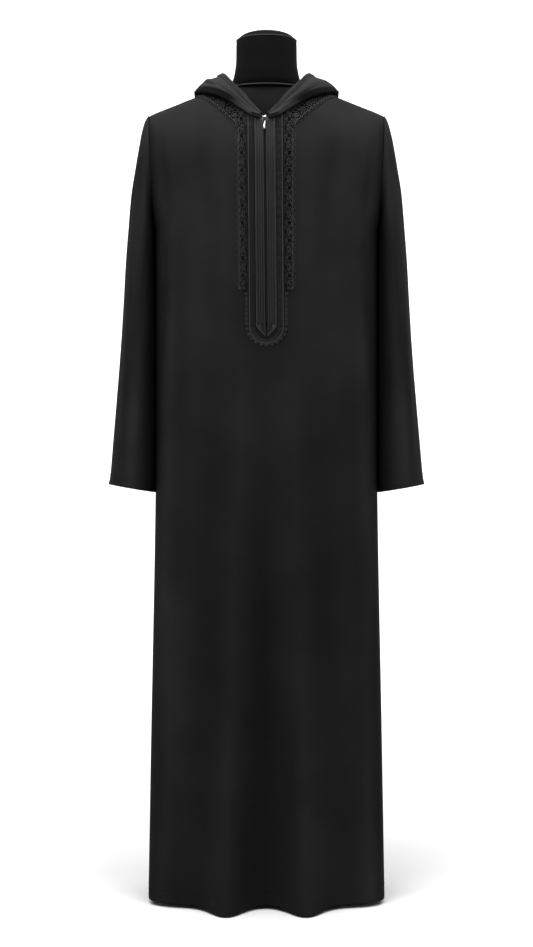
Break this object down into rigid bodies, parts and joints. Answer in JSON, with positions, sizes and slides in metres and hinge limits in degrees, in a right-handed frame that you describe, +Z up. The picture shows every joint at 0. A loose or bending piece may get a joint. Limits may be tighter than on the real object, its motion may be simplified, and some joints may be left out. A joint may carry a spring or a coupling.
{
  "type": "hooded abaya robe on limbless dress form",
  "caption": "Hollow ankle-length hooded robe with a half-length front zip, scrolled braid borders and long sleeves, standing on a limbless dress form with an oval base.",
  "frame": {"origin": "centre of the base plate's flat underside", "axes": "+Z up, -Y the garment's front, +X the picture's right"},
  "size_m": [0.5586, 0.313, 1.541],
  "materials": {
    "crepe": "matte black crepe",
    "satin_braid": "dark satin braid",
    "embroidery": "black rayon cord stitching",
    "form_cover": "stretched black jersey",
    "zip_teeth": "black coil",
    "zip_metal": "polished nickel",
    "stand_metal": "brushed tube",
    "stand_paint": "black powder coat"
  },
  "bodies": {
    "robe_and_form": {"back_panel": "crepe", "embroidery_border_left": "embroidery", "embroidery_border_right": "embroidery", "embroidery_foot": "embroidery", "form_base": "stand_paint", "form_flange": "stand_paint", "form_neck": "form_cover", "form_neck_cap": "form_cover", "form_pole": "stand_metal", "form_torso": "form_cover", "front_panel": "crepe", "hood_braid_left": "satin_braid", "hood_braid_right": "satin_braid", "hood_left": "crepe", "hood_right": "crepe", "neck_border_left": "embroidery", "neck_border_right": "embroidery", "neck_piping_left": "satin_braid", "neck_piping_right": "satin_braid", "placket_band_left": "satin_braid", "placket_band_right": "satin_braid", "sleeve_left": "crepe", "sleeve_right": "crepe", "zip_chain": "zip_teeth", "zip_slider": "zip_metal"},
    "pull_tab": {"zip_pull_tab": "zip_metal"}
  },
  "joints": [
    {"name": "pull_tab_hinge", "type": "hinge", "parent": "robe_and_form", "child": "pull_tab", "pos_m": [-0.00346, -0.11341, 1.36783], "axis": [-1, 0, 0], "range_deg": [0, 150]}
  ]
}
